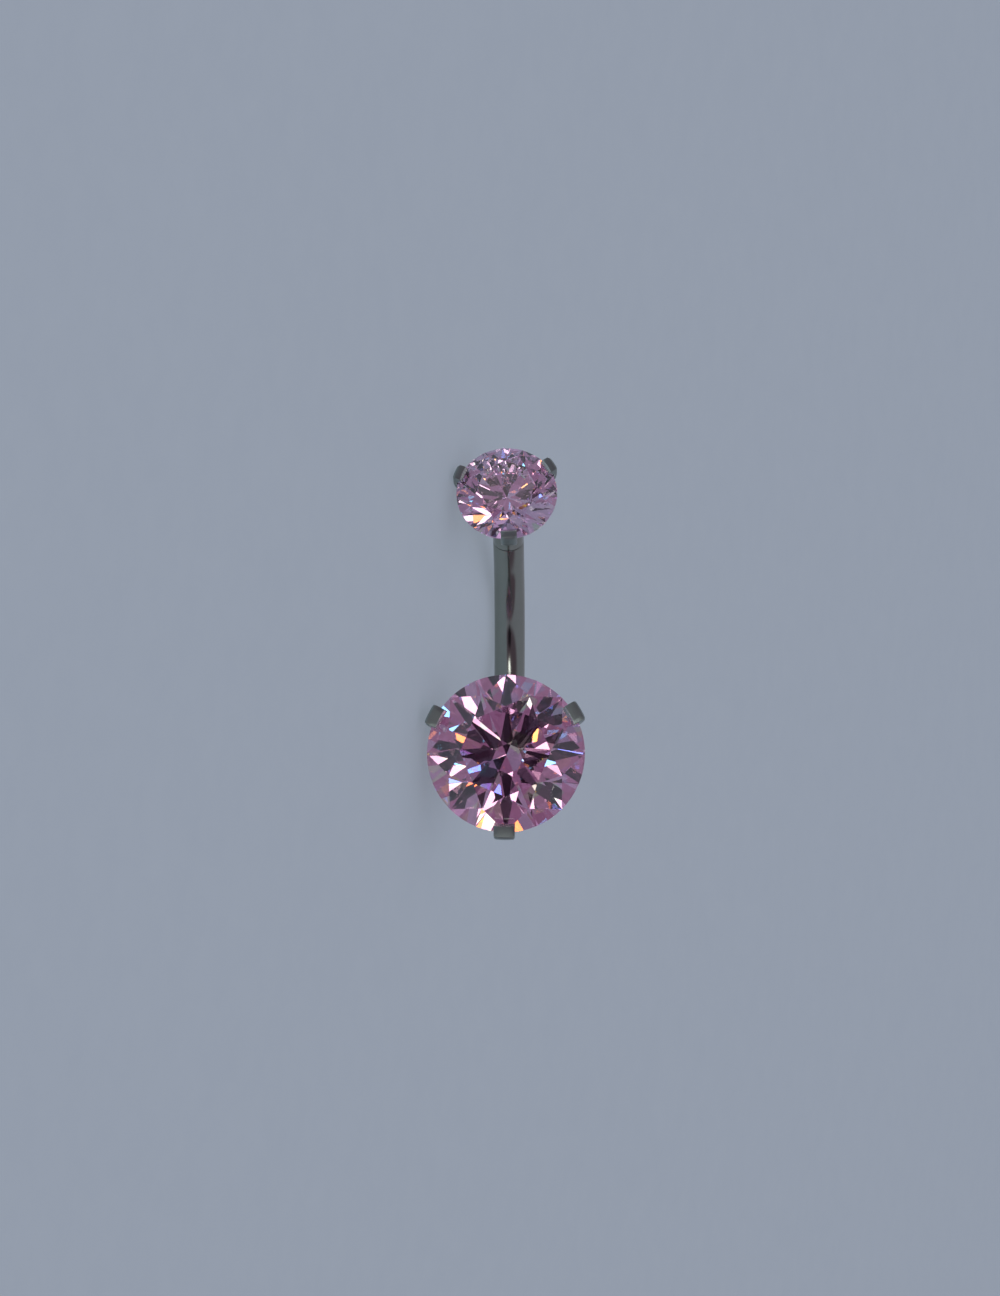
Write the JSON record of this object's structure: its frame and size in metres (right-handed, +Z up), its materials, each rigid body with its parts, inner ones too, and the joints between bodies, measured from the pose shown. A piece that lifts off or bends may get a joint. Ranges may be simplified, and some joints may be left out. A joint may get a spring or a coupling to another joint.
{
  "type": "navel ring",
  "caption": "Curved barbell navel ring with a small upper and a large lower round pink stone, each held in a pronged claw.",
  "frame": {"origin": "middle of the curved bar, on its centreline", "axes": "the ring lies on its side as it rests by itself: +Z up, -Y the way the lower stone faces seen from above, +X along the ring towards the large lower stone"},
  "size_m": [0.0201, 0.0098, 0.0079],
  "materials": {
    "bar_metal": "polished grey metal",
    "claw_metal": "fine satin grey metal with bright bevels",
    "pink_stone": "clear light pink, flat polished facets"
  },
  "bodies": {
    "root": {"curved_bar": "bar_metal", "lower_claw": "claw_metal", "lower_stone": "pink_stone", "upper_claw": "claw_metal", "upper_stone": "pink_stone"}
  },
  "joints": []
}
